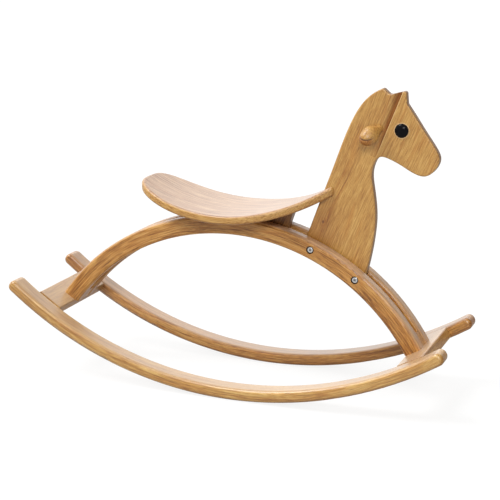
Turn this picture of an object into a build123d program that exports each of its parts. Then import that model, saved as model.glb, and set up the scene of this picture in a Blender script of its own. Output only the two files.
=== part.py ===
"""Wooden rocking horse: two rockers, two cross boards, a twin-rail arch, a seat and a flat horse's head.

Frame: +X is the way the horse faces, +Y is its left side and +Z is up. The origin is on the floor, on the middle
plane, under the rockers' lowest line.
"""

from build123d import *
import os
from math import asin, cos, degrees, radians, sin, sqrt

os.makedirs("parts", exist_ok=True)

# ---------------------------------------------------------------- rockers
ROCKER_CENTRE = (0.0, 753.0)  # centre of the rockers' arcs in the side plane, as (x, z)
ROCKER_RADIUS = 753.0  # underside of the rockers
ROCKER_HEIGHT = 24.0
ROCKER_WIDTH = 43.0
ROCKER_REAR_ANGLE = 39.85  # from the lowest line to the end face
ROCKER_FRONT_ANGLE = 33.35
ROCKER_CORNER = 11.0  # corner of the end, seen from the side
ROCKER_EDGE = 8.0
INNER_WIDTH = 191.0  # clear distance between the rockers

# ---------------------------------------------------------------- cross boards
BOARD_WIDTH = 54.0
BOARD_THICKNESS = 22.0
BOARD_EDGE = 3.0
FRONT_BOARD_ANGLE = 27.57  # from the lowest line to the board's middle, forwards
REAR_BOARD_ANGLE = -33.76
DOWEL_RADIUS = 5.0
DOWEL_LENGTH = 40.0
DOWEL_SPACING = 28.0
SLIP = 0.05  # radial clearance of every dowel, screw and bolt in its hole

# ---------------------------------------------------------------- arch
ARCH_CENTRE = (-44.0, -114.8)
ARCH_OUTER = 448.0
ARCH_INNER = 413.0
ARCH_MIDDLE = (ARCH_OUTER + ARCH_INNER) / 2
GAP = 18.0  # between the two rails
RAIL_WIDTH = 27.0
RAIL_EDGE = 6.5
RAIL_START = 20.0  # the rails are bent over this stretch and then cut off on the boards
RAIL_END = 155.0
RAIL_FACE = GAP / 2 + RAIL_WIDTH  # outer face of a rail from the middle plane

# ---------------------------------------------------------------- bolts through rails and neck
BOLT_ANGLES = (67.2, 53.6)
BOLT_RADIUS = 3.0
BOLT_HEAD_RADIUS = 5.8
BOLT_HEAD_HEIGHT = 3.2
BOLT_SINK = 4.6  # depth of the counterbore
COUNTERBORE_RADIUS = 7.2
SOCKET_WIDTH = 5.0
SOCKET_DEPTH = 2.2
SLEEVE_RADIUS = 4.2
SLEEVE_LENGTH = 19.0
BOLT_REACH = 52.0  # shank below the head

# ---------------------------------------------------------------- head and neck board
NECK_THICKNESS = 18.0
NECK_EDGE = 3.0
NECK_FOOT_RADIUS = 414.0  # the board's foot follows the rails' undersides
PEAK_ROUND = 4.5
NOTCH_ROUND = 7.0
FORELOCK_ROUND = 4.5
BROW_ROUND = 10.0
PEAK = (251.5, 592.5)
NOTCH = (264.5, 581.0)
FORELOCK = (294.8, 589.3)
BROW = (297.0, 565.4)
THROAT = (247.0, 464.2)
NECK_REAR_ANGLE = 70.1  # the board's foot, seen from the centre of the arch
NECK_FRONT_ANGLE = 50.9
STEP_TOP = (290.2, 591.2)
STEP_BOTTOM = (239.7, 463.0)
STEP_ENDS = ((STEP_TOP, 20.0, 5.0), (STEP_BOTTOM, 13.0, 2.0))  # place, width and depth of the slope
PROUD = 1.0  # how far the cutter stands out of the face

# ---------------------------------------------------------------- eyes and ears
EYE_CENTRE = (288.5, 516.5)
EYE_RADIUS = 13.0
EYE_HEIGHT = 6.5
EYE_RIM = 1.2
EYE_STEM_RADIUS = 3.0
EYE_STEM_LENGTH = 7.0
EAR_ROOT = (248.5, 517.5)
EAR_LEAN = (-18.0, 24.0, -13.5)  # from the root to the middle of the bulb; y is outwards
EAR_ROOT_RADIUS = 7.5
EAR_BULB_RADIUS = 16.3
EAR_TENON_RADIUS = 4.0
EAR_TENON_LENGTH = 7.0

# ---------------------------------------------------------------- seat
SEAT_LOW_X = -38.2  # where the seat is lowest
SEAT_LOW_Z = 346.9
SEAT_RADIUS = 361.5  # bend of the upper face
SEAT_THICKNESS = 16.0
SEAT_EDGE = 4.8
SEAT_HALF_WIDTH = 93.5
SEAT_WIDEST_X = -30.0
SEAT_REAR_X = -227.5
SEAT_FRONT_X = 160.0
SEAT_NOSE_HALF_WIDTH = 12.5
SEAT_NOSE_CORNER = 7.0
SEAT_REAR_POWER = 3.2  # superellipse exponent of the rear half
SEAT_TAPER_POWER = 1.67  # the front half narrows with this power of the distance
SEAT_BLANK_ANGLE = 40.0  # half of the bent blank that the seat is cut from
SEAT_STEPS = 6  # points on each half of the outline's curve
NOTCH_CLEARANCE = 0.4
SLOT_OUTLINE = ((127.6, 360.0), (145.8, 410.0), (200.0, 410.0), (200.0, 360.0))
SEAT_CENTRE = (SEAT_LOW_X, SEAT_LOW_Z + SEAT_RADIUS)
SEAT_UNDER_RADIUS = SEAT_RADIUS + SEAT_THICKNESS

# ---------------------------------------------------------------- blocks between the rails
SUPPORT_OUTLINE = ((83.0, 356.0), (60.0, 290.0), (-96.0, 290.0), (-104.0, 356.0))
SUPPORT_DOWEL_ANGLES = (84.5, 96.5)
SPACER_OUTER = ARCH_OUTER - 2.6
SPACER_ANGLES = {"front": (25.0, 33.9), "rear": (140.3, 150.0)}  # before the cut along the board
FRONT_SPACER_DOWEL = 32.0
REAR_SPACER_DOWEL = 142.2
CROSS_DOWEL_RADIUS = 4.0
CROSS_DOWEL_LENGTH = 58.0

# ---------------------------------------------------------------- screws
SCREW_RADIUS = 2.5
SCREW_HEAD_RADIUS = 5.0
SCREW_HEAD_HEIGHT = 2.8
SCREW_TIP = 6.0
SCREW_POINT_RADIUS = 0.5
DRIVE_WIDTH = 5.0  # cross recess
DRIVE_SLOT = 1.0
DRIVE_DEPTH = 1.4
FOOT_SCREW_LENGTH = 48.0
SEAT_SCREW_LENGTH = 36.0
SEAT_SCREW_SINK = 8.0
SEAT_SCREW_X = (-56.0, -20.0)
RAIL_MIDDLE = GAP / 2 + RAIL_WIDTH / 2

UPRIGHT = (Align.CENTER, Align.CENTER, Align.MIN)
HANGING = (Align.CENTER, Align.CENTER, Align.MAX)
ACROSS = (90, 0, 0)  # turns a cylinder's axis from Z to Y


def on_circle(centre, radius, angle):
    """Point of a circle in the side plane; angle in degrees from +X towards +Z."""
    return (centre[0] + radius * cos(radians(angle)), centre[1] + radius * sin(radians(angle)))


def board_plane(angle):
    """Upper face of a cross board: x along the board's length, y along its width, z out of the face."""
    half_chord = BOARD_WIDTH / 2
    reach = sqrt((ROCKER_RADIUS - ROCKER_HEIGHT) ** 2 - half_chord**2)
    tilt = radians(angle)
    x = ROCKER_CENTRE[0] + reach * sin(tilt)
    z = ROCKER_CENTRE[1] - reach * cos(tilt)
    return Plane(origin=(x, 0, z), x_dir=(0, 1, 0), z_dir=(-sin(tilt), 0, cos(tilt)))


def seat_edge_point(step):
    """Half outline of the seat from above: step 0 is the nose, 1 the widest place and 2 the tail."""
    if step <= 1:
        forward = 1 - step
        x = SEAT_WIDEST_X + forward * (SEAT_FRONT_X - SEAT_WIDEST_X)
        narrowing = (SEAT_HALF_WIDTH - SEAT_NOSE_HALF_WIDTH) * forward**SEAT_TAPER_POWER
        return (x, SEAT_HALF_WIDTH - narrowing)
    turn = radians(90 * (step - 1))
    x = SEAT_WIDEST_X - (SEAT_WIDEST_X - SEAT_REAR_X) * sin(turn) ** (2 / SEAT_REAR_POWER)
    return (x, SEAT_HALF_WIDTH * max(cos(turn), 0) ** (2 / SEAT_REAR_POWER))


def step_plane(point, sign):
    """Across the bridle step: x from the step line towards the mane, y out of the head's face."""
    along = Vector(STEP_TOP[0] - STEP_BOTTOM[0], 0, STEP_TOP[1] - STEP_BOTTOM[1])
    outwards = Vector(0, sign, 0)
    back = Vector(-along.Z, 0, along.X).normalized()
    origin = (point[0], sign * NECK_THICKNESS / 2, point[1])
    return Plane(origin=origin, x_dir=back, z_dir=back.cross(outwards))


def is_bent_face(face):
    """True for the seat's upper and lower faces."""
    return abs(face.radius - SEAT_RADIUS) < 0.01 or abs(face.radius - SEAT_UNDER_RADIUS) < 0.01


def dowel_plane(board, sign):
    """Middle of a cross board's end face: x along the board's width, z towards the rocker."""
    origin = board.from_local_coords(Vector(sign * INNER_WIDTH / 2, 0, -BOARD_THICKNESS / 2))
    return Plane(origin=origin, x_dir=board.y_dir, z_dir=(0, sign, 0))


def screw(length):
    """Wood screw that points along +Z, with the flat of its head at the origin."""
    with BuildPart() as body:
        Cone(SCREW_HEAD_RADIUS, SCREW_RADIUS, SCREW_HEAD_HEIGHT, align=UPRIGHT)
        Cylinder(SCREW_RADIUS, length - SCREW_TIP, align=UPRIGHT)
        with Locations((0, 0, length - SCREW_TIP)):
            Cone(SCREW_RADIUS, SCREW_POINT_RADIUS, SCREW_TIP, align=UPRIGHT)
        for turn in (0, 90):
            Box(DRIVE_WIDTH, DRIVE_SLOT, 2 * DRIVE_DEPTH, rotation=(0, 0, turn), mode=Mode.SUBTRACT)
    return body.part


def save(builder, name):
    builder.part.label = name
    export_step(builder.part, f"parts/{name}.step")


FRONT_BOARD = board_plane(FRONT_BOARD_ANGLE)
REAR_BOARD = board_plane(REAR_BOARD_ANGLE)
BOARDS = {"front": FRONT_BOARD, "rear": REAR_BOARD}
SIDES = {"right": -1, "left": 1}
BOLT_CENTRES = [on_circle(ARCH_CENTRE, ARCH_MIDDLE + 1, angle) for angle in BOLT_ANGLES]
SUPPORT_DOWELS = [on_circle(ARCH_CENTRE, ARCH_MIDDLE, angle) for angle in SUPPORT_DOWEL_ANGLES]
SPACER_DOWELS = {
    "front": on_circle(ARCH_CENTRE, ARCH_MIDDLE, FRONT_SPACER_DOWEL),
    "rear": on_circle(ARCH_CENTRE, ARCH_MIDDLE, REAR_SPACER_DOWEL),
}
EYE_DOME_RADIUS = (EYE_RADIUS**2 + (EYE_HEIGHT - EYE_RIM) ** 2) / (2 * (EYE_HEIGHT - EYE_RIM))
EYE_TURN = degrees(asin(EYE_RADIUS / EYE_DOME_RADIUS))
EYE_HOLE_DEPTH = EYE_STEM_LENGTH + 0.5
EAR_HOLE_DEPTH = EAR_TENON_LENGTH + 0.5
BOLT_SEAT = RAIL_FACE - BOLT_SINK  # floor of the counterbores from the middle plane
SEAT_SCREW_Z = ARCH_CENTRE[1] + ARCH_INNER + SEAT_SCREW_SINK
SEAT_SCREW_PLACES = [(x, y, SEAT_SCREW_Z) for x in SEAT_SCREW_X for y in (-RAIL_MIDDLE, RAIL_MIDDLE)]

# ================================================================ rockers
for side, sign in SIDES.items():
    nearest_y = min(sign * INNER_WIDTH / 2, sign * (INNER_WIDTH / 2 + ROCKER_WIDTH))
    with BuildPart() as rocker:
        with BuildSketch(Plane.XZ.offset(-nearest_y)):
            with BuildLine():
                start = 270 - ROCKER_REAR_ANGLE
                bend = ROCKER_REAR_ANGLE + ROCKER_FRONT_ANGLE
                under = CenterArc(ROCKER_CENTRE, ROCKER_RADIUS, start, bend)
                upper = CenterArc(ROCKER_CENTRE, ROCKER_RADIUS - ROCKER_HEIGHT, start, bend)
                Line(under @ 0, upper @ 0)
                Line(under @ 1, upper @ 1)
            make_face()
            fillet(vertices(), radius=ROCKER_CORNER)
        extrude(amount=-ROCKER_WIDTH)
        fillet(faces().filter_by(Axis.Y).edges(), radius=ROCKER_EDGE)
        for board in BOARDS.values():
            with Locations(dowel_plane(board, sign)):
                with GridLocations(DOWEL_SPACING, 1, 2, 1):
                    Cylinder(DOWEL_RADIUS + SLIP, DOWEL_LENGTH + 1, mode=Mode.SUBTRACT)
    save(rocker, f"rocker_{side}")

# ================================================================ cross boards
for place, board in BOARDS.items():
    with BuildPart() as cross_board:
        with BuildSketch(board):
            Rectangle(INNER_WIDTH, BOARD_WIDTH)
        extrude(amount=-BOARD_THICKNESS)
        fillet(edges().filter_by(Axis.Y), radius=BOARD_EDGE)
        for sign in SIDES.values():
            with Locations(dowel_plane(board, sign)):
                with GridLocations(DOWEL_SPACING, 1, 2, 1):
                    Cylinder(DOWEL_RADIUS + SLIP, DOWEL_LENGTH + 1, mode=Mode.SUBTRACT)
        with Locations(board.offset(-BOARD_THICKNESS)):
            with GridLocations(2 * RAIL_MIDDLE, 1, 2, 1):
                Cylinder(SCREW_RADIUS + SLIP, BOARD_THICKNESS, align=UPRIGHT, mode=Mode.SUBTRACT)
                Cone(
                    SCREW_HEAD_RADIUS + SLIP,
                    SCREW_RADIUS + SLIP,
                    SCREW_HEAD_HEIGHT + SLIP,
                    align=UPRIGHT,
                    mode=Mode.SUBTRACT,
                )
    save(cross_board, f"{place}_cross_board")

    with BuildPart() as board_dowels:
        for sign in SIDES.values():
            with Locations(dowel_plane(board, sign)):
                with GridLocations(DOWEL_SPACING, 1, 2, 1):
                    Cylinder(DOWEL_RADIUS, DOWEL_LENGTH)
        chamfer(edges().filter_by(GeomType.CIRCLE), length=1)
    save(board_dowels, f"{place}_board_dowels")

    with BuildPart() as foot_screws:
        with Locations(board.offset(-BOARD_THICKNESS)):
            with GridLocations(2 * RAIL_MIDDLE, 1, 2, 1):
                add(screw(FOOT_SCREW_LENGTH))
    save(foot_screws, f"{place}_foot_screws")

# ================================================================ arch rails
for side, sign in SIDES.items():
    nearest_y = min(sign * GAP / 2, sign * RAIL_FACE)
    with BuildPart() as rail:
        with BuildSketch(Plane.XZ.offset(-nearest_y)):
            with BuildLine():
                outer = CenterArc(ARCH_CENTRE, ARCH_OUTER, RAIL_START, RAIL_END - RAIL_START)
                inner = CenterArc(ARCH_CENTRE, ARCH_INNER, RAIL_START, RAIL_END - RAIL_START)
                Line(outer @ 0, inner @ 0)
                Line(outer @ 1, inner @ 1)
            make_face()
        extrude(amount=-RAIL_WIDTH)
        fillet(faces().filter_by(Axis.Y).edges().filter_by(GeomType.CIRCLE), radius=RAIL_EDGE)
        # the feet are cut off flat on the boards
        split(bisect_by=FRONT_BOARD, keep=Keep.TOP)
        split(bisect_by=REAR_BOARD, keep=Keep.TOP)
        # shallow bed for the seat
        with BuildSketch(Plane.XZ.offset(-nearest_y)):
            with Locations(SEAT_CENTRE):
                Circle(SEAT_UNDER_RADIUS)
        extrude(amount=-RAIL_WIDTH, mode=Mode.SUBTRACT)
        # bolt holes, each with a counterbore in the outer face
        for x, z in BOLT_CENTRES:
            with Locations((x, sign * RAIL_MIDDLE, z)):
                Cylinder(BOLT_RADIUS + SLIP, RAIL_WIDTH, rotation=ACROSS, mode=Mode.SUBTRACT)
            with Locations((x, sign * RAIL_FACE, z)):
                Cylinder(COUNTERBORE_RADIUS, 2 * BOLT_SINK, rotation=ACROSS, mode=Mode.SUBTRACT)
            if side == "left":
                with Locations((x, BOLT_SEAT - SLEEVE_LENGTH / 2, z)):
                    Cylinder(SLEEVE_RADIUS + SLIP, SLEEVE_LENGTH + 1, rotation=ACROSS, mode=Mode.SUBTRACT)
        for x, z in (*SUPPORT_DOWELS, *SPACER_DOWELS.values()):
            with Locations((x, 0, z)):
                Cylinder(
                    CROSS_DOWEL_RADIUS + SLIP, CROSS_DOWEL_LENGTH + 1, rotation=ACROSS, mode=Mode.SUBTRACT
                )
        for board in BOARDS.values():
            with Locations(board.offset(-BOARD_THICKNESS)):
                with Locations((sign * RAIL_MIDDLE, 0, 0)):
                    Cylinder(SCREW_RADIUS + SLIP, FOOT_SCREW_LENGTH + 1, align=UPRIGHT, mode=Mode.SUBTRACT)
        with Locations(*SEAT_SCREW_PLACES):
            Cylinder(SCREW_RADIUS + SLIP, SEAT_SCREW_LENGTH, align=UPRIGHT, mode=Mode.SUBTRACT)
            Cylinder(SCREW_HEAD_RADIUS + SLIP, 2 * SEAT_SCREW_SINK, align=HANGING, mode=Mode.SUBTRACT)
            Cone(
                SCREW_HEAD_RADIUS + SLIP,
                SCREW_RADIUS + SLIP,
                SCREW_HEAD_HEIGHT + SLIP,
                align=UPRIGHT,
                mode=Mode.SUBTRACT,
            )
    save(rail, f"arch_rail_{side}")

# ================================================================ head and neck board
with BuildPart() as neck:
    with BuildSketch(Plane.XZ):
        with BuildLine():
            foot = CenterArc(
                ARCH_CENTRE, NECK_FOOT_RADIUS, NECK_FRONT_ANGLE, NECK_REAR_ANGLE - NECK_FRONT_ANGLE
            )
            Spline(foot @ 1, (128.2, 361), (161.0, 449.3), (191, 526.5), (213.6, 564.5), PEAK)
            Line(PEAK, NOTCH)
            Line(NOTCH, FORELOCK)
            Line(FORELOCK, BROW)
            Spline(
                BROW,
                (317.6, 536.4),
                (336.2, 509.3),
                (353.8, 484.0),
                (360.3, 468.0),
                (351.2, 445.2),
                (333.5, 434),
                (316.5, 436.8),
                (291, 450),
                (266, 461.7),
                THROAT,
                (236.4, 448.2),
                (233.4, 429),
                (235.6, 409),
                (240.4, 377.7),
                (242.4, 345),
                (240.2, 316),
                (236.4, 288.8),
                foot @ 0,
            )
        make_face()
        fillet(vertices().sort_by_distance(PEAK)[0], radius=PEAK_ROUND)
        fillet(vertices().sort_by_distance(NOTCH)[0], radius=NOTCH_ROUND)
        fillet(vertices().sort_by_distance(FORELOCK)[0], radius=FORELOCK_ROUND)
        fillet(vertices().sort_by_distance(BROW)[0], radius=BROW_ROUND)
    extrude(amount=NECK_THICKNESS / 2, both=True)
    fillet(faces().filter_by(Axis.Y).edges(), radius=NECK_EDGE)
    # the bridle step: a sharp line on both faces, with the wood sloping away behind it
    for sign in SIDES.values():
        for point, width, depth in STEP_ENDS:
            with BuildSketch(step_plane(point, sign)):
                with BuildLine():
                    rise = 1 + PROUD / depth
                    Polyline((0, -depth), (0, PROUD), (rise * width, PROUD), close=True)
                make_face()
        loft(mode=Mode.SUBTRACT)
    for x, z in BOLT_CENTRES:
        with Locations((x, 0, z)):
            Cylinder(BOLT_RADIUS + SLIP, NECK_THICKNESS, rotation=ACROSS, mode=Mode.SUBTRACT)
    for sign in SIDES.values():
        with Locations((EYE_CENTRE[0], sign * NECK_THICKNESS / 2, EYE_CENTRE[1])):
            Cylinder(EYE_STEM_RADIUS + SLIP, 2 * EYE_HOLE_DEPTH, rotation=ACROSS, mode=Mode.SUBTRACT)
        with Locations((EAR_ROOT[0], sign * NECK_THICKNESS / 2, EAR_ROOT[1])):
            Cylinder(EAR_TENON_RADIUS + SLIP, 2 * EAR_HOLE_DEPTH, rotation=ACROSS, mode=Mode.SUBTRACT)
save(neck, "head_and_neck_board")

# ================================================================ eyes: domes with a push-in stem
for side, sign in SIDES.items():
    base = Plane(
        origin=(EYE_CENTRE[0], sign * NECK_THICKNESS / 2, EYE_CENTRE[1]), x_dir=(1, 0, 0), z_dir=(0, 0, sign)
    )
    with BuildPart() as eye:
        with BuildSketch(base):
            with BuildLine():
                rim = Line((EYE_RADIUS, 0), (EYE_RADIUS, EYE_RIM))
                dome = CenterArc((0, EYE_HEIGHT - EYE_DOME_RADIUS), EYE_DOME_RADIUS, 90 - EYE_TURN, EYE_TURN)
                Polyline(
                    dome @ 1,
                    (0, -EYE_STEM_LENGTH),
                    (EYE_STEM_RADIUS, -EYE_STEM_LENGTH),
                    (EYE_STEM_RADIUS, 0),
                    rim @ 0,
                )
            make_face()
        revolve(axis=Axis(base.origin, base.y_dir))
    save(eye, f"eye_{side}")

# ================================================================ ears: teardrops with a tenon
for side, sign in SIDES.items():
    root = Vector(EAR_ROOT[0], sign * NECK_THICKNESS / 2, EAR_ROOT[1])
    lean = Vector(EAR_LEAN[0], sign * EAR_LEAN[1], EAR_LEAN[2])
    length = lean.length
    slope = degrees(asin((EAR_BULB_RADIUS - EAR_ROOT_RADIUS) / length))
    with BuildPart() as ear:
        with BuildSketch(Plane(origin=root, x_dir=lean, z_dir=lean.cross(Vector(0, 0, 1)))):
            with BuildLine():
                root_arc = CenterArc((0, 0), EAR_ROOT_RADIUS, 180, -(90 - slope))
                bulb_arc = CenterArc((length, 0), EAR_BULB_RADIUS, 90 + slope, -(90 + slope))
                Line(root_arc @ 1, bulb_arc @ 0)
                Line(root_arc @ 0, bulb_arc @ 1)
            make_face()
        revolve(axis=Axis(root, lean))
        split(bisect_by=Plane(origin=root, z_dir=(0, sign, 0)), keep=Keep.TOP)
        with Locations(root - Vector(0, sign * EAR_TENON_LENGTH / 2, 0)):
            Cylinder(EAR_TENON_RADIUS, EAR_TENON_LENGTH, rotation=ACROSS)
    save(ear, f"ear_{side}")

# ================================================================ bolts and sleeve nuts
with BuildPart() as bolts:
    with BuildSketch(Plane.XZ.offset(BOLT_SEAT)):
        with Locations(*BOLT_CENTRES):
            Circle(BOLT_HEAD_RADIUS)
    extrude(amount=BOLT_HEAD_HEIGHT)
    fillet(faces().sort_by(Axis.Y)[:2].edges(), radius=1)
    with BuildSketch(Plane.XZ.offset(BOLT_SEAT)):
        with Locations(*BOLT_CENTRES):
            Circle(BOLT_RADIUS)
    extrude(amount=-BOLT_REACH)
    with BuildSketch(Plane.XZ.offset(BOLT_SEAT + BOLT_HEAD_HEIGHT)):
        with Locations(*BOLT_CENTRES):
            RegularPolygon(SOCKET_WIDTH / 2, 6, major_radius=False)
    extrude(amount=-SOCKET_DEPTH, mode=Mode.SUBTRACT)
save(bolts, "neck_bolts")

with BuildPart() as nuts:
    with BuildSketch(Plane.XZ.offset(-BOLT_SEAT)):
        with Locations(*BOLT_CENTRES):
            Circle(BOLT_HEAD_RADIUS)
    extrude(amount=-BOLT_HEAD_HEIGHT)
    fillet(faces().sort_by(Axis.Y)[-2:].edges(), radius=1)
    with BuildSketch(Plane.XZ.offset(-BOLT_SEAT)):
        with Locations(*BOLT_CENTRES):
            Circle(SLEEVE_RADIUS)
    extrude(amount=SLEEVE_LENGTH)
    with BuildSketch(Plane.XZ.offset(-BOLT_SEAT)):
        with Locations(*BOLT_CENTRES):
            Circle(BOLT_RADIUS + SLIP)
    extrude(amount=SLEEVE_LENGTH, mode=Mode.SUBTRACT)
    with BuildSketch(Plane.XZ.offset(-BOLT_SEAT - BOLT_HEAD_HEIGHT)):
        with Locations(*BOLT_CENTRES):
            RegularPolygon(SOCKET_WIDTH / 2, 6, major_radius=False)
    extrude(amount=SOCKET_DEPTH, mode=Mode.SUBTRACT)
save(nuts, "neck_bolt_nuts")

# ================================================================ seat
with BuildPart() as seat:
    with BuildSketch(Plane.XZ):
        with BuildLine():
            top = CenterArc(SEAT_CENTRE, SEAT_RADIUS, 270 - SEAT_BLANK_ANGLE, 2 * SEAT_BLANK_ANGLE)
            underside = CenterArc(SEAT_CENTRE, SEAT_UNDER_RADIUS, 270 - SEAT_BLANK_ANGLE, 2 * SEAT_BLANK_ANGLE)
            Line(top @ 0, underside @ 0)
            Line(top @ 1, underside @ 1)
        make_face()
    extrude(amount=SEAT_HALF_WIDTH + 1, both=True)
    with BuildSketch(Plane.XY.offset(SEAT_LOW_Z - 2 * SEAT_THICKNESS)):
        with BuildLine():
            half = [seat_edge_point(step / SEAT_STEPS) for step in range(2 * SEAT_STEPS + 1)]
            mirrored = [(x, -y) for x, y in reversed(half[:-1])]
            outline = Spline(*half, *mirrored)
            Line(outline @ 0, outline @ 1)
        make_face()
        fillet(vertices(), radius=SEAT_NOSE_CORNER)
    extrude(amount=SEAT_RADIUS, mode=Mode.INTERSECT)
    fillet(faces().filter_by(GeomType.CYLINDER).filter_by(is_bent_face).edges(), radius=SEAT_EDGE)
    # slot for the neck, sloped like the mane
    with BuildSketch(Plane.XZ):
        Polygon(*SLOT_OUTLINE, align=None)
    extrude(amount=GAP / 2 + NOTCH_CLEARANCE, both=True, mode=Mode.SUBTRACT)
    with Locations(*SEAT_SCREW_PLACES):
        Cylinder(SCREW_RADIUS + SLIP, SEAT_SCREW_LENGTH + 1, align=UPRIGHT, mode=Mode.SUBTRACT)
save(seat, "seat")

with BuildPart() as seat_screws:
    with Locations(*SEAT_SCREW_PLACES):
        add(screw(SEAT_SCREW_LENGTH))
save(seat_screws, "seat_screws")

# ================================================================ blocks and dowels between the rails
with BuildPart() as support:
    with BuildSketch(Plane.XZ):
        Polygon(*SUPPORT_OUTLINE, align=None)
        with Locations(ARCH_CENTRE):
            Circle(NECK_FOOT_RADIUS, mode=Mode.SUBTRACT)
        with Locations(SEAT_CENTRE):
            Circle(SEAT_UNDER_RADIUS, mode=Mode.SUBTRACT)
    extrude(amount=GAP / 2, both=True)
    for x, z in SUPPORT_DOWELS:
        with Locations((x, 0, z)):
            Cylinder(CROSS_DOWEL_RADIUS + SLIP, GAP, rotation=ACROSS, mode=Mode.SUBTRACT)
save(support, "seat_support_block")

with BuildPart() as support_dowels:
    for x, z in SUPPORT_DOWELS:
        with Locations((x, 0, z)):
            Cylinder(CROSS_DOWEL_RADIUS, CROSS_DOWEL_LENGTH, rotation=ACROSS)
    chamfer(edges().filter_by(GeomType.CIRCLE), length=1)
save(support_dowels, "support_block_dowels")

for place, board in BOARDS.items():
    low_angle, high_angle = SPACER_ANGLES[place]
    x, z = SPACER_DOWELS[place]
    with BuildPart() as spacer:
        with BuildSketch(Plane.XZ):
            with BuildLine():
                outer = CenterArc(ARCH_CENTRE, SPACER_OUTER, low_angle, high_angle - low_angle)
                inner = CenterArc(ARCH_CENTRE, NECK_FOOT_RADIUS, low_angle, high_angle - low_angle)
                Line(outer @ 0, inner @ 0)
                Line(outer @ 1, inner @ 1)
            make_face()
        extrude(amount=GAP / 2, both=True)
        split(bisect_by=board, keep=Keep.TOP)
        with Locations((x, 0, z)):
            Cylinder(CROSS_DOWEL_RADIUS + SLIP, GAP, rotation=ACROSS, mode=Mode.SUBTRACT)
    save(spacer, f"{place}_spacer_block")

    with BuildPart() as spacer_dowel:
        with Locations((x, 0, z)):
            Cylinder(CROSS_DOWEL_RADIUS, CROSS_DOWEL_LENGTH, rotation=ACROSS)
        chamfer(edges().filter_by(GeomType.CIRCLE), length=1)
    save(spacer_dowel, f"{place}_spacer_dowel")
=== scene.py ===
from math import cos, exp, hypot, radians, sin, sqrt

import bmesh
import bpy
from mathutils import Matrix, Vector


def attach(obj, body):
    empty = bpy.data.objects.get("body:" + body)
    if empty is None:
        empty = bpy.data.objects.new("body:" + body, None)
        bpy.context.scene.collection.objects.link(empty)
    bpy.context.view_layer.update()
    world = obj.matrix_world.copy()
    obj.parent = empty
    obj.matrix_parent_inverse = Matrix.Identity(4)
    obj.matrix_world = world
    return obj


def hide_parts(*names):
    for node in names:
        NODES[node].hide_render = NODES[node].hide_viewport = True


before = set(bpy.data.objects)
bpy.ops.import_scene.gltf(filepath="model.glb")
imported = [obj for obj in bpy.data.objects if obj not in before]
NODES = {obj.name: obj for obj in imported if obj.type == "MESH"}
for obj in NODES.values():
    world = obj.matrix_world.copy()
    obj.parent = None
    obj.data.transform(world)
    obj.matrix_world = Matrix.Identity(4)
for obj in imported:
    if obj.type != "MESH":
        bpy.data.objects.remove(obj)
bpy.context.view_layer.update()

# ================================================================ places in the frame
# Sizes are in metres and angles in degrees. A place with two numbers is (x, z).
ROCKER_BEND = (0.0, 0.753)  # centre of the rockers' arcs
ROCKER_SOLE_RADIUS = 0.753
ROCKER_MID_RADIUS = 0.741
ROCKER_TOP_RADIUS = 0.729
ROCKER_FRONT_TIP = 0.4085
ROCKER_REAR_TIP = -0.4775
FRONT_BOARD_TILT = 27.57  # round the rockers' centre
REAR_BOARD_TILT = -33.76
ARCH_BEND = (-0.044, -0.1148)
ARCH_MID_RADIUS = 0.430
ARCH_TOP_RADIUS = 0.448
SEAT_BEND = (-0.0382, 0.7084)
SEAT_MID_RADIUS = 0.3695
SEAT_TOP_RADIUS = 0.3615
NECK_GRAIN = 68.0  # from +X
HALF_NECK = 0.009
NECK_REAR_CORNER = (0.125, 0.325)
EYE_PLACE = (0.2885, 0.5165)
EYE_RADIUS = 0.013
KNOT_PLACE = (0.1398, 0.3338)
BOLT_PLACES = ((0.1232, 0.2830), (0.2121, 0.2325))
STEP_TOP = (0.2902, 0.5912)  # ends of the step carved across the head
STEP_BOTTOM = (0.2397, 0.4630)


# ================================================================ shader maths
class Wire:
    """A value that a node gives out. Arithmetic on it adds Math nodes to the same tree."""

    def __init__(self, tree, socket):
        self.tree = tree
        self.socket = socket

    def math(self, operation, *values):
        return self.tree.node("ShaderNodeMath", {"operation": operation}, dict(enumerate(values)))

    def __add__(self, other):
        return self.math("ADD", self, other)

    def __sub__(self, other):
        return self.math("SUBTRACT", self, other)

    def __rsub__(self, other):
        return self.math("SUBTRACT", other, self)

    def __mul__(self, other):
        return self.math("MULTIPLY", self, other)

    def __truediv__(self, other):
        return self.math("DIVIDE", self, other)

    def __rtruediv__(self, other):
        return self.math("DIVIDE", other, self)

    def __abs__(self):
        return self.math("ABSOLUTE", self)

    __radd__ = __add__
    __rmul__ = __mul__

    def root(self):
        return self.math("SQRT", self)

    def turn(self, other):
        """Angle of the point (other, self) about the origin."""
        return self.math("ARCTAN2", self, other)

    def most(self, other):
        return self.math("MAXIMUM", self, other)

    def smooth(self, low, high):
        """0 below low, 1 above high and a smooth rise between them."""
        settings = {"interpolation_type": "SMOOTHSTEP"}
        return self.tree.node(
            "ShaderNodeMapRange", settings, {"Value": self, "From Min": low, "From Max": high}
        )


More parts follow.
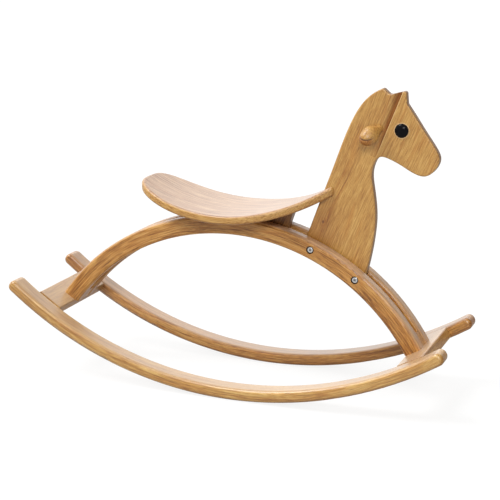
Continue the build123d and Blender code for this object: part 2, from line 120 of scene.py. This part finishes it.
class Tree:
    """The nodes of one material or of the world."""

    def __init__(self, owner):
        owner.use_nodes = True
        self.nodes = owner.node_tree.nodes
        self.links = owner.node_tree.links
        self.nodes.clear()

    def node(self, kind, settings=None, sockets=None, stops=None, out=0):
        """Adds a node: its settings first, then a ramp's stops, then its sockets' values or links.

        Gives the output named by out, or a list of them where out is a tuple.
        """
        node = self.nodes.new(kind)
        for key, setting in (settings or {}).items():
            setattr(node, key, setting)
        if stops:
            ramp = node.color_ramp.elements
            while len(ramp) < len(stops):
                ramp.new(0.5)
            for element, (position, colour) in zip(ramp, stops):
                element.position = position
                element.color = (*colour, 1.0)
        for key, value in (sockets or {}).items():
            self.join(value, node.inputs[key])
        if isinstance(out, tuple):
            return [Wire(self, node.outputs[name]) for name in out]
        return None if out is None else Wire(self, node.outputs[out])

    def join(self, value, socket):
        if isinstance(value, Wire):
            self.links.new(value.socket, socket)
        elif socket.type == "RGBA":
            socket.default_value = (*value, 1.0)
        else:
            socket.default_value = value

    def axes(self, coordinates):
        """X, Y and Z of one of the texture coordinates."""
        place = self.node("ShaderNodeTexCoord", out=coordinates)
        return self.node("ShaderNodeSeparateXYZ", sockets={"Vector": place}, out=("X", "Y", "Z"))


class Finish(Tree):
    """A material whose colours depend on the place on the piece: x, y and z."""

    def __init__(self, name):
        self.material = bpy.data.materials.new(name)
        super().__init__(self.material)
        self.x, self.y, self.z = self.axes("Object")

    def vector(self, x, y, z):
        return self.node("ShaderNodeCombineXYZ", sockets={"X": x, "Y": y, "Z": z})

    def noise(self, vector, detail=3.0, roughness=0.5):
        sockets = {"Vector": vector, "Scale": 1.0, "Detail": detail, "Roughness": roughness}
        return self.node("ShaderNodeTexNoise", sockets=sockets, out="Fac")

    def specks(self, grain):
        """The same noise in every direction, with the given number of specks per metre."""
        return self.noise(self.vector(self.x * grain, self.y * grain, self.z * grain))

    def mix(self, amount, low, high, blend="MIX"):
        settings = {"data_type": "RGBA", "blend_type": blend}
        return self.node("ShaderNodeMix", settings, {0: amount, 6: low, 7: high}, out=2)

    def tint(self, amount, colour, tint):
        """Multiplies the colour by a tint, by the given amount."""
        return self.mix(amount, colour, tint, "MULTIPLY")

    def from_centre(self, centre):
        """Distances from a centre along X and along Z."""
        return self.x - centre[0], self.z - centre[1]

    def radius(self, centre, flatten=1.0):
        """Distance from a centre in the side plane. Flatten below 1 draws its rings out in height."""
        dx, dz = self.from_centre(centre)
        dz = dz * flatten
        return (dx * dx + dz * dz).root()

    def surface(self, base, roughness, bump, bump_height, coat=0.0, **constants):
        """Ends the tree in a Principled shader. Constants are set on its own sockets."""
        normal = self.node(
            "ShaderNodeBump",
            sockets={"Height": bump, "Distance": bump_height, "Strength": 1.0},
            out="Normal",
        )
        sockets = {"Base Color": base, "Roughness": roughness, "Coat Weight": coat, "Normal": normal}
        for key, value in constants.items():
            sockets[key.replace("_", " ")] = value
        shader = self.node("ShaderNodeBsdfPrincipled", sockets=sockets)
        self.node("ShaderNodeOutputMaterial", sockets={"Surface": shader}, out=None)
        return self.material


def bump_round(value, middle, width):
    """1 where the value is at the middle, falling smoothly to 0 at the width on either side."""
    return 1.0 - abs(value - middle).smooth(0.0, width)


# ================================================================ wood
# Each kind of streak: length along the grain, width across it, layers of noise and their roughness
PLANK = (0.45, 0.030, 3.0, 0.6)
BANDS = (0.13, 0.0050, 3.0, 0.65)
LINES = (0.060, 0.0021, 3.0, 0.65)
HAIRS = (0.020, 0.0008, 2.0, 0.6)
VESSELS = (0.030, 0.0016, 2.0, 0.5)
VESSEL_CLUMPS = (0.11, 0.020, 2.0, 0.5)
PORES = (0.007, 0.0005, 2.0, 0.5)
FLAME = (0.09, 0.0085, 2.0, 0.5)

WANDER = 0.016  # how far the fibres stray from the bend of the piece
WAVES_ALONG = 5.0  # how often they stray, per metre
WAVES_ACROSS = 14.0
DEPTH_WANDER = 0.6  # the share of it that they stray into the piece
SEED_DEPTH = 0.37  # how far the seed moves a piece into the log, as a share of its move along it
GRAIN_RELIEF = 0.00004

FLAME_TINT = (1.0, 0.84, 0.66)
PAINTED_TOP_SHEEN = (0.62, 0.46, 0.33)  # painted reflection: upper faces made paler, standing in for the bright room's sheen on them

# Tones run from the dark late wood to the palest early wood
ROCKER_TONES = [
    (0.22, (0.270, 0.110, 0.025)),
    (0.40, (0.450, 0.220, 0.052)),
    (0.55, (0.540, 0.300, 0.078)),
    (0.78, (0.680, 0.450, 0.160)),
]
RAIL_TONES = [
    (0.22, (0.185, 0.070, 0.014)),
    (0.40, (0.375, 0.155, 0.032)),
    (0.55, (0.490, 0.228, 0.050)),
    (0.78, (0.640, 0.360, 0.110)),
]
HEAD_TONES = [
    (0.22, (0.270, 0.105, 0.020)),
    (0.40, (0.435, 0.210, 0.045)),
    (0.55, (0.530, 0.288, 0.070)),
    (0.78, (0.650, 0.395, 0.120)),
]
BLOCK_TONES = [
    (0.22, (0.100, 0.036, 0.010)),
    (0.40, (0.220, 0.088, 0.022)),
    (0.55, (0.300, 0.135, 0.036)),
    (0.78, (0.420, 0.220, 0.070)),
]
SEAT_TONES = [
    (0.22, (0.270, 0.115, 0.055)),
    (0.40, (0.430, 0.230, 0.120)),
    (0.55, (0.530, 0.315, 0.170)),
    (0.78, (0.650, 0.440, 0.260)),
]


def wood(
    name, grain, tones, seed, detail=None, gloss=0.36, contrast=1.0, figure=1.0, stretch=1.0, coat=0.8
):
    """Lacquered hardwood.

    Grain gives the distances along, across and into the grain. Detail is what one piece adds: it takes
    the finish, the colour and the tone, and gives the colour and the share of the coat that is left.
    """
    finish = Finish(name)
    along, across, depth = grain(finish)
    along = along + seed
    depth = depth + seed * SEED_DEPTH
    waves = finish.vector(along * WAVES_ALONG, across * WAVES_ACROSS, depth * WAVES_ACROSS)
    wander = (finish.noise(waves, 2.0) - 0.5) * WANDER
    line = across + wander
    side = depth + wander * DEPTH_WANDER

    def streak(length, width, layers, roughness):
        place = finish.vector(along / (length * stretch), line / width, side / width)
        return finish.noise(place, layers, roughness)

    plank, bands, lines, hairs = (streak(*kind) - 0.5 for kind in (PLANK, BANDS, LINES, HAIRS))
    tone = (plank * 0.75 + bands * 0.65) * figure + lines * (1.1 * contrast) + hairs * 0.8 + 0.5
    colour = finish.node("ShaderNodeValToRGB", sockets={"Fac": tone}, stops=tones)

    clumps = streak(*VESSEL_CLUMPS).smooth(0.36, 0.62) * 0.75 + 0.25
    vessels = streak(*VESSELS).smooth(0.58, 0.66) * clumps
    pores = streak(*PORES).smooth(0.60, 0.72)
    late_wood = tones[0][1]
    colour = finish.mix(vessels * (0.62 * contrast), colour, late_wood)
    colour = finish.mix(pores * 0.40, colour, late_wood)
    colour = finish.tint(streak(*FLAME).smooth(0.52, 0.70) * 0.50, colour, FLAME_TINT)

    if detail:
        colour, coat_left = detail(finish, colour, tone)
        coat = coat_left * coat
    return finish.surface(
        colour,
        hairs * 0.16 + bands * 0.12 + pores * 0.10 + gloss,
        hairs * 0.4 + lines * 0.5 - pores * 0.8 - vessels * 0.6,
        GRAIN_RELIEF,
        coat,
        IOR=1.5,
        Specular_IOR_Level=0.35,
        Coat_Roughness=0.36,
        Coat_IOR=1.55,
    )


# ---------------------------------------------------------------- grain
def bent_grain(finish, centre, radius):
    """Grain that follows a bend: distance round the arc, distance out from its centre, and depth."""
    dx, dz = finish.from_centre(centre)
    return dz.turn(dx) * radius, finish.radius(centre), finish.y


def along_rocker(finish):
    return bent_grain(finish, ROCKER_BEND, ROCKER_MID_RADIUS)


def along_arch(finish):
    return bent_grain(finish, ARCH_BEND, ARCH_MID_RADIUS)


def along_seat(finish):
    return bent_grain(finish, SEAT_BEND, SEAT_MID_RADIUS)


def up_neck(finish):
    """Straight grain in the side plane."""
    c, s = cos(radians(NECK_GRAIN)), sin(radians(NECK_GRAIN))
    return finish.x * c + finish.z * s, finish.z * c - finish.x * s, finish.y


def crossways(finish):
    return finish.y, finish.x, finish.z


# ---------------------------------------------------------------- head and neck board
STEP_RUN = (STEP_TOP[0] - STEP_BOTTOM[0], STEP_TOP[1] - STEP_BOTTOM[1])
STEP_LENGTH = hypot(*STEP_RUN)
STEP_CARVED = (-0.012, 0.06)  # the height over which the step deepens, from its bottom end
SLOPE_START = (-0.0003, 0.0005)  # distances behind the step's edge
SLOPE_END = (0.0035, 0.0105)
RUN_OUT = 0.0125  # where the slope meets the face at the bottom end, and how it leans back with height
RUN_OUT_LEAN = 0.05
RUN_OUT_WIDTH = 0.0022
STEP_EDGE_PLACE = -0.0009
STEP_EDGE_WIDTH = 0.0012
# Painted shade on the step's slope, a painted shadow where it runs out, a painted highlight along its edge,
# and painted shade on the head board's edge faces
STEP_SLOPE_SHADE = (1.0, 0.74, 0.48)
STEP_SHADOW = (0.78, 0.58, 0.40)
STEP_EDGE_HIGHLIGHT = (0.90, 0.64, 0.30)
HEAD_EDGE_SHADE = (0.42, 0.33, 0.28)
RING_GAP = 0.0010  # from the eye's rim to the middle of the pale ring
RING_WIDTH = 0.0014
EYE_RING = (0.86, 0.62, 0.34)
KNOT_FLATTEN = 0.7
KNOT_HEART_SIZE = (0.0008, 0.0034)
KNOT_HALO_RADIUS = 0.0055
KNOT_HALO_WIDTH = 0.0022
KNOT_HEART = (0.16, 0.055, 0.022)
KNOT_HALO = (0.72, 0.55, 0.42)
# Painted shade round the neck's rear corner, which sits under the seat against the rails
NECK_CORNER_SHADE_SIZE = (0.012, 0.085)
NECK_CORNER_SHADE = (0.84, 0.68, 0.52)


def paint_step_light(finish, colour):
    """Painted shade on the carved step's slope, a painted shadow line where it runs out and a painted
    highlight line at its edge.
    """
    dx, dz = finish.from_centre(STEP_BOTTOM)
    run_x, run_z = (run / STEP_LENGTH for run in STEP_RUN)
    behind = dz * run_x - dx * run_z
    up = dx * run_x + dz * run_z
    carved = up.smooth(*STEP_CARVED)
    slope = behind.smooth(*SLOPE_START) * (1.0 - behind.smooth(*SLOPE_END)) * carved
    run_out = bump_round(behind, up * RUN_OUT_LEAN + RUN_OUT, RUN_OUT_WIDTH) * carved
    edge = bump_round(behind, STEP_EDGE_PLACE, STEP_EDGE_WIDTH) * carved
    # Painted shade on the slope, a painted shadow line where it runs out and a painted highlight along the
    # edge
    colour = finish.tint(slope * 0.95, colour, STEP_SLOPE_SHADE)
    colour = finish.tint(run_out * 0.60, colour, STEP_SHADOW)
    return finish.mix(edge * 0.50, colour, STEP_EDGE_HIGHLIGHT), slope


def head_detail(finish, colour, _tone):
    """Painted shade on the carved step's slope and a painted highlight on its edge, painted shade on the
    board's edge faces, a pale ring round the eye, a knot, and painted shade round the neck's rear corner
    under the seat.
    """
    colour, slope = paint_step_light(finish, colour)
    # Painted shade on the board's narrow edge faces all round the head and neck
    edge_face_shade = 1.0 - abs(finish.y).smooth(HALF_NECK - 0.0030, HALF_NECK - 0.0008)
    colour = finish.tint(edge_face_shade * 0.85, colour, HEAD_EDGE_SHADE)
    ring = bump_round(finish.radius(EYE_PLACE), EYE_RADIUS + RING_GAP, RING_WIDTH)
    colour = finish.mix(ring * 0.55, colour, EYE_RING)
    knot = finish.radius(KNOT_PLACE, KNOT_FLATTEN)
    colour = finish.mix((1.0 - knot.smooth(*KNOT_HEART_SIZE)) * 0.80, colour, KNOT_HEART)
    colour = finish.tint(bump_round(knot, KNOT_HALO_RADIUS, KNOT_HALO_WIDTH) * 0.35, colour, KNOT_HALO)
    # Painted shade round the neck's rear corner under the seat
    corner_shade = 1.0 - finish.radius(NECK_REAR_CORNER).smooth(*NECK_CORNER_SHADE_SIZE)
    colour = finish.tint(corner_shade * 0.80, colour, NECK_CORNER_SHADE)
    # only the front edge is dry: the rear edge keeps its lacquer
    front = finish.x.smooth(NECK_REAR_CORNER[0] + 0.03, NECK_REAR_CORNER[0] + 0.07)
    return colour, 1.0 - (edge_face_shade * front * 0.95).most(slope * 0.5)


# ---------------------------------------------------------------- seat, rockers, rails and boards
ROUND_START = 0.0004  # where the tone of an upper face gives way to that of the rounded edge
ROUND_END = 0.0030
# Painted shade along the foot of the seat's rounded edge
SEAT_FOOT_SHADE_DEPTH = (0.0115, 0.0150)
SEAT_FOOT_SHADE = (0.62, 0.45, 0.34)
# Painted shade along the rockers' sole and lower rounding
SOLE_SHADE = (0.66, 0.50, 0.36)
DRY_TIP = (0.60, 0.46, 0.35)
# Painted shade in the bolts' counterbores
COUNTERBORE_SIZE = (0.0072, 0.0079)
COUNTERBORE_SHADE = (0.030, 0.012, 0.006)
BOARD_FACE = (-0.0025, -0.0005)  # heights, from the bottom to the top of the upper face's painted sheen
# Painted shade on the cross boards' long edges
BOARD_EDGE_START = (0.0235, 0.0265)  # distances from the middle of the board
BOARD_EDGE_SHADE = (0.72, 0.56, 0.42)


def seat_detail(finish, colour, tone):
    """Painted shade: the rounded edge takes darker, warmer tones than the upper face, and a painted shade
    line along its foot.
    """
    depth = finish.radius(SEAT_BEND) - SEAT_TOP_RADIUS
    edge = depth.smooth(ROUND_START, ROUND_END)
    # Painted shade: darker, warmer tones on the rounded edge than on the upper face
    edge_shade_tones = finish.node("ShaderNodeValToRGB", sockets={"Fac": tone}, stops=HEAD_TONES)
    colour = finish.mix(edge * 0.90, colour, edge_shade_tones)
    return finish.tint(depth.smooth(*SEAT_FOOT_SHADE_DEPTH) * 0.60, colour, SEAT_FOOT_SHADE), 1.0 - edge * 0.5


def rocker_detail(finish, colour, _tone):
    """Painted sheen on the upper face, painted shade along the sole and its lower rounding, and dark, dry end
    grain at both tips.
    """
    front_tip = finish.x.smooth(ROCKER_FRONT_TIP - 0.007, ROCKER_FRONT_TIP)
    rear_tip = 1.0 - finish.x.smooth(ROCKER_REAR_TIP, ROCKER_REAR_TIP + 0.004)
    tip = front_tip.most(rear_tip)
    out = finish.radius(ROCKER_BEND)
    sole = out.smooth(ROCKER_SOLE_RADIUS - 0.006, ROCKER_SOLE_RADIUS - 0.001)
    top = 1.0 - out.smooth(ROCKER_TOP_RADIUS + ROUND_START, ROCKER_TOP_RADIUS + ROUND_END)
    # Painted sheen on the upper face, then painted shade along the sole
    colour = finish.mix(top * 0.40, colour, PAINTED_TOP_SHEEN)
    colour = finish.tint(sole * 0.7, colour, SOLE_SHADE)
    return finish.tint(tip * 0.7, colour, DRY_TIP), 1.0 - tip * 0.8


def rail_detail(finish, colour, _tone):
    """Painted sheen on the outer face, and painted shade, with little coat, in the counterbores of the bolts.
    """
    # Painted sheen on the arch's outer face
    top = finish.radius(ARCH_BEND).smooth(ARCH_TOP_RADIUS - 0.004, ARCH_TOP_RADIUS - 0.0005)
    colour = finish.mix(top * 0.40, colour, PAINTED_TOP_SHEEN)
    # Painted shade, with little coat, in the counterbores
    bore_shade = sum(1.0 - finish.radius(place).smooth(*COUNTERBORE_SIZE) for place in BOLT_PLACES)
    return finish.mix(bore_shade * 0.9, colour, COUNTERBORE_SHADE), 1.0 - bore_shade * 0.9


def board_detail(tilt):
    """Painted sheen on the upper face and painted shade, with less coat, on the long edges, on a cross board
    that leans by the tilt.
    """
    c, s = cos(radians(tilt)), sin(radians(tilt))
    middle = (ROCKER_TOP_RADIUS * s, ROCKER_BEND[1] - ROCKER_TOP_RADIUS * c)

    def detail(finish, colour, _tone):
        dx, dz = finish.from_centre(middle)
        height = dz * c - dx * s
        colour = finish.mix(height.smooth(*BOARD_FACE) * 0.50, colour, PAINTED_TOP_SHEEN)
        # Painted shade on the long edges
        edge = abs(dx * c + dz * s).smooth(*BOARD_EDGE_START)
        return finish.tint(edge * 0.6, colour, BOARD_EDGE_SHADE), 1.0 - edge * 0.75

    return detail


# ---------------------------------------------------------------- wood on the pieces
def dress(material, *names):
    for name in names:
        mesh = NODES[name].data
        mesh.materials.clear()
        mesh.materials.append(material)


dress(
    wood("rocker_right_wood", along_rocker, ROCKER_TONES, 1.3, rocker_detail, contrast=1.1, coat=1.0),
    "rocker_right",
)
dress(
    wood("rocker_left_wood", along_rocker, RAIL_TONES, 5.1, rocker_detail, contrast=1.2, coat=1.0),
    "rocker_left",
)
for side, seed in (("right", 9.7), ("left", 14.2)):
    rail_wood = wood(
        "arch_" + side + "_wood", along_arch, RAIL_TONES, seed, rail_detail, contrast=1.35, coat=0.5
    )
    dress(rail_wood, "arch_rail_" + side)
for end, tilt, seed in (("front", FRONT_BOARD_TILT, 3.3), ("rear", REAR_BOARD_TILT, 6.8)):
    board_wood = wood(end + "_board_wood", crossways, ROCKER_TONES, seed, board_detail(tilt), coat=1.0)
    dress(board_wood, end + "_cross_board")
dress(
    wood("head_wood", up_neck, HEAD_TONES, 2.4, head_detail, contrast=0.85, figure=0.55, stretch=0.8),
    "head_and_neck_board",
)
dress(
    wood(
        "seat_wood", along_seat, SEAT_TONES, 7.7, seat_detail, contrast=1.4, figure=0.5, stretch=2.2, coat=1.0
    ),
    "seat",
)
dress(wood("support_wood", up_neck, BLOCK_TONES, 4.4, coat=0.2), "seat_support_block")
dress(
    wood("spacer_wood", up_neck, RAIL_TONES, 8.1, coat=0.5),
    "front_spacer_block",
    "rear_spacer_block",
)
dress(
    wood("dowel_wood", crossways, SEAT_TONES, 8.8),
    "front_board_dowels",
    "rear_board_dowels",
    "front_spacer_dowel",
    "rear_spacer_dowel",
    "support_block_dowels",
)


# ================================================================ ears
EAR_ROOT = Vector((0.2490, -0.0086, 0.5195))  # of the right ear
EAR_BULB = Vector((0.2315, -0.0330, 0.5040))
EAR_SAG = Vector((-0.0005, 0.0, 0.0020))  # how far the neck of the ear bows between its ends
EAR_PROFILE = [  # distance from root to bulb, as a share, then half breadth and half thickness
    (0.00, 0.0066, 0.0066),
    (0.15, 0.0070, 0.0068),
    (0.30, 0.0090, 0.0084),
    (0.45, 0.0122, 0.0108),
    (0.60, 0.0150, 0.0132),
    (0.75, 0.0164, 0.0146),
    (0.85, 0.0167, 0.0150),
]
EAR_CAP = 0.66  # length of the rounded end, in the same share
EAR_RINGS = 46
EAR_SEGMENTS = 48
LAST_RING = 0.998  # how far along the rounded end the last ring stands before the tip
CREASE_NORMAL = Vector((0.115, -0.567, 0.816)).normalized()
CREASE_RISE = 0.0062  # how far the crease passes above the middle of the bulb, along its normal
CREASE_DEPTH = 0.0016
CREASE_WIDTH = 0.0011
CREASE_START = 0.45  # where the crease begins along the ear, and over what share it deepens
CREASE_EASE = 0.25
LIP_DROP = 0.0004  # how far the wood below the crease is set back
# Painted shade on the ear's underside below the crease
EAR_LIP_SHADE = (0.70, 0.50, 0.36)
CREASE_SHADE = (0.11, 0.042, 0.018)
CREASE_SHADE_WIDTH = 0.0021
BULB_END = (0.006, 0.015)  # distances in front of the bulb's middle, over which the shading ends
LIP_SOFTNESS = 0.0012


def ear_halves(t):
    """Half breadth and half thickness of the ear at a share of its length."""
    for (t0, a0, b0), (t1, a1, b1) in zip(EAR_PROFILE, EAR_PROFILE[1:]):
        if t <= t1:
            share = (t - t0) / (t1 - t0)
            return a0 + (a1 - a0) * share, b0 + (b1 - b0) * share
    widest, *halves = EAR_PROFILE[-1]
    return [half * sqrt(1 - ((t - widest) / EAR_CAP) ** 2) for half in halves]


def crease_cut(point, t):
    """How deep the crease and the lip below it are cut at a point on the ear."""
    below = (point - EAR_BULB).dot(CREASE_NORMAL) - CREASE_RISE
    fade = min(max((t - CREASE_START) / CREASE_EASE, 0.0), 1.0)
    groove = CREASE_DEPTH * exp(-((below / CREASE_WIDTH) ** 2))
    lip = LIP_DROP if below < 0 else 0.0
    return (groove + lip) * fade


def carve_ear(name, sign):
    """Teardrop ear on a bowed axis, with the ear's hollow cut as a crease across it."""
    axis = EAR_BULB - EAR_ROOT
    breadth = axis.cross(Vector((0, 1, 0))).normalized()
    thickness = axis.cross(breadth).normalized()
    widest = EAR_PROFILE[-1][0]
    mesh = bmesh.new()

    def vertex(point):
        return mesh.verts.new((point.x, point.y * -sign, point.z))

    loops = []
    for ring in range(EAR_RINGS + 1):
        t = (widest + EAR_CAP * LAST_RING) * sin(radians(90 * ring / EAR_RINGS))
        a, b = ear_halves(t)
        centre = EAR_ROOT + axis * t + EAR_SAG * sin(radians(180 * min(t, 1.0)))
        loop = []
        for k in range(EAR_SEGMENTS):
            turn = radians(360 * k / EAR_SEGMENTS)
            point = centre + breadth * (a * cos(turn)) + thickness * (b * sin(turn))
            loop.append(vertex(point - (point - centre).normalized() * crease_cut(point, t)))
        loops.append(loop)
    for near, far in zip(loops, loops[1:]):
        for k in range(EAR_SEGMENTS):
            mesh.faces.new((near[k], near[k - 1], far[k - 1], far[k]))
    tip = vertex(EAR_ROOT + axis * (widest + EAR_CAP))
    for k in range(EAR_SEGMENTS):
        mesh.faces.new((loops[-1][k], loops[-1][k - 1], tip))
    mesh.faces.new(loops[0])
    bmesh.ops.recalc_face_normals(mesh, faces=mesh.faces)

    data = bpy.data.meshes.new(name)
    mesh.to_mesh(data)
    mesh.free()
    data.shade_smooth()
    ear = bpy.data.objects.new(name, data)
    bpy.context.scene.collection.objects.link(ear)
    smooth = ear.modifiers.new("rounding", "SUBSURF")
    smooth.levels = 1
    smooth.render_levels = 1
    return ear


def ear_detail(sign):
    """Painted shade in the crease, and painted shade, with less coat, on the wood below it."""

    def detail(finish, colour, _tone):
        below = (
            (finish.x - EAR_BULB.x) * CREASE_NORMAL.x
            + (finish.y * -sign - EAR_BULB.y) * CREASE_NORMAL.y
            + (finish.z - EAR_BULB.z) * CREASE_NORMAL.z
            - CREASE_RISE
        )
        bulb = 1.0 - (finish.x - EAR_BULB.x).smooth(*BULB_END)
        crease = bump_round(below, 0.0, CREASE_SHADE_WIDTH) * bulb
        lip = (1.0 - below.smooth(-LIP_SOFTNESS, 0.0)) * bulb
        colour = finish.tint(lip * 0.90, colour, EAR_LIP_SHADE)
        return finish.mix(crease, colour, CREASE_SHADE), 1.0 - lip * 0.8

    return detail


for side, sign in (("right", -1), ("left", 1)):
    seed = 11.9 + sign
    ear_wood = wood(
        "ear_wood_" + side, up_neck, HEAD_TONES, seed, ear_detail(sign), gloss=0.46, figure=0.6, coat=0.6
    )
    ear = carve_ear("carved_ear_" + side, sign)
    ear.data.materials.append(ear_wood)
    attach(ear, "root")
    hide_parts("ear_" + side)


# ================================================================ metal and eyes
HAZE_GRAIN = 900.0  # specks per metre
BRUSH_GRAIN = 3000.0
BRUSH_GRAIN_ALONG = 300.0
BRUSH_RELIEF = 0.00002
BRIGHT_PLATE = (0.88, 0.89, 0.90)
HAZY_PLATE = (0.66, 0.67, 0.69)
# Painted shade for the drive sockets, which the bolt heads don't have as recesses
DRIVE_SOCKET_SIZE = (0.0022, 0.0030)
DRIVE_SOCKET_SHADE = (0.16, 0.16, 0.17)
EYE_GRAIN = 500.0
EYE_RELIEF = 0.000004
EYE_BLACK = (0.003, 0.003, 0.004)
EYE_HAZE = (0.008, 0.008, 0.010)


def bolt_metal(name, drive_sockets=()):
    """Bright plate, finely brushed, with painted shade where the drive sockets are."""
    finish = Finish(name)
    haze = finish.specks(HAZE_GRAIN)
    brush_x, brush_z = finish.x * BRUSH_GRAIN, finish.z * BRUSH_GRAIN
    brush = finish.noise(finish.vector(brush_x, finish.y * BRUSH_GRAIN_ALONG, brush_z), 2.0)
    colour = finish.mix(haze, HAZY_PLATE, BRIGHT_PLATE)
    for place in drive_sockets:
        dark = 1.0 - finish.radius(place).smooth(*DRIVE_SOCKET_SIZE)
        colour = finish.mix(dark * 0.75, colour, DRIVE_SOCKET_SHADE)
    return finish.surface(colour, haze * 0.12 + 0.18, brush, BRUSH_RELIEF, Metallic=1.0)


def eye_gloss(name):
    """Black gloss with a very faint haze."""
    finish = Finish(name)
    haze = finish.specks(EYE_GRAIN)
    colour = finish.mix(haze, EYE_BLACK, EYE_HAZE)
    return finish.surface(colour, haze * 0.05 + 0.16, haze, EYE_RELIEF, IOR=1.45, Specular_IOR_Level=0.10)


dress(bolt_metal("bright_nickel", BOLT_PLACES), "neck_bolts", "neck_bolt_nuts")
dress(bolt_metal("zinc_screw"), "front_foot_screws", "rear_foot_screws", "seat_screws")
dress(eye_gloss("black_gloss"), "eye_right", "eye_left")


# ================================================================ studio
FLOOR_HALF = 40.0
FLOOR_DROP = 0.0004  # how far the paper lies below the rockers
WHITE_PAPER = (1.0, 1.0, 0.997)
WHITE_PAPER_GLOW = 0.85
SEEN_PAPER = (0.16, 0.16, 0.16)
BOUNCED_PAPER = (0.50, 0.49, 0.48)
ROOM_WHITE = (1.0, 0.99, 0.98)
BACKDROP_LIGHT = 1.20
CEILING_LIGHT = 0.22
FRONT_LIGHT = 0.20
ROOM_LIGHT = 0.17
SUNS = (  # name, strength, spread and the way that it shines
    ("key", 2.0, 26, (0.75, 0.42, -1.25)),
    ("side", 1.30, 18, (-0.35, 1.0, -0.65)),
)
CAMERA_PLACE = (0.9382, -2.4502, 0.9227)
CAMERA_TILT = 75.90
CAMERA_TURN = 21.20
CAMERA_LENS = 99.91  # millimetres
SENSOR_WIDTH = 36.0
CAMERA_REACH = 200.0  # in metres, so that the far edge of the floor is seen


def lay_floor(scene):
    """Paper that looks white but throws back only part of the light, as a small sheet in a dim room does."""
    mesh = bpy.data.meshes.new("studio_floor")
    corners = [(x * FLOOR_HALF, y * FLOOR_HALF, 0) for x, y in ((-1, -1), (1, -1), (1, 1), (-1, 1))]
    mesh.from_pydata(corners, [], [(0, 1, 2, 3)])
    floor = bpy.data.objects.new("studio_floor", mesh)
    floor.location = (0, 0, -FLOOR_DROP)
    scene.collection.objects.link(floor)
    paper = bpy.data.materials.new("paper")
    tree = Tree(paper)
    seen = tree.node(
        "ShaderNodeBsdfPrincipled",
        sockets={
            "Base Color": SEEN_PAPER,
            "Roughness": 1.0,
            "Specular IOR Level": 0.0,
            "Emission Color": WHITE_PAPER,
            "Emission Strength": WHITE_PAPER_GLOW,
        },
    )
    bounced = tree.node("ShaderNodeBsdfDiffuse", sockets={"Color": BOUNCED_PAPER})
    by_camera = tree.node("ShaderNodeLightPath", out="Is Camera Ray")
    choice = tree.node("ShaderNodeMixShader", sockets={"Fac": by_camera, 1: bounced, 2: seen})
    tree.node("ShaderNodeOutputMaterial", sockets={"Surface": choice}, out=None)
    mesh.materials.append(paper)


def light_room(scene):
    """A white backdrop behind the horse, a brighter ceiling, a dim room in front and two broad suns."""
    world = bpy.data.worlds.new("studio")
    tree = Tree(world)
    x, y, z = tree.axes("Generated")
    behind = (y * 0.9 - x * 0.9).smooth(0.25, 0.90)
    above = z.smooth(0.25, 1.0)
    front = 1.0 - y.smooth(-0.8, 0.0)
    strength = behind * BACKDROP_LIGHT + above * CEILING_LIGHT + front * FRONT_LIGHT + ROOM_LIGHT
    room = tree.node("ShaderNodeBackground", sockets={"Color": ROOM_WHITE, "Strength": strength})
    tree.node("ShaderNodeOutputWorld", sockets={"Surface": room}, out=None)
    scene.world = world

    for name, energy, spread, toward in SUNS:
        light = bpy.data.lights.new(name, "SUN")
        light.energy = energy
        light.angle = radians(spread)
        lamp = bpy.data.objects.new(name, light)
        lamp.rotation_euler = Vector(toward).to_track_quat("-Z", "Y").to_euler()
        scene.collection.objects.link(lamp)


def place_camera(scene):
    camera = bpy.data.cameras.new("camera")
    camera.lens = CAMERA_LENS
    camera.sensor_width = SENSOR_WIDTH
    camera.clip_end = CAMERA_REACH
    holder = bpy.data.objects.new("camera", camera)
    holder.location = CAMERA_PLACE
    holder.rotation_euler = (radians(CAMERA_TILT), 0, radians(CAMERA_TURN))
    scene.collection.objects.link(holder)
    scene.camera = holder


scene = bpy.context.scene
scene.view_settings.view_transform = "Standard"
lay_floor(scene)
light_room(scene)
place_camera(scene)
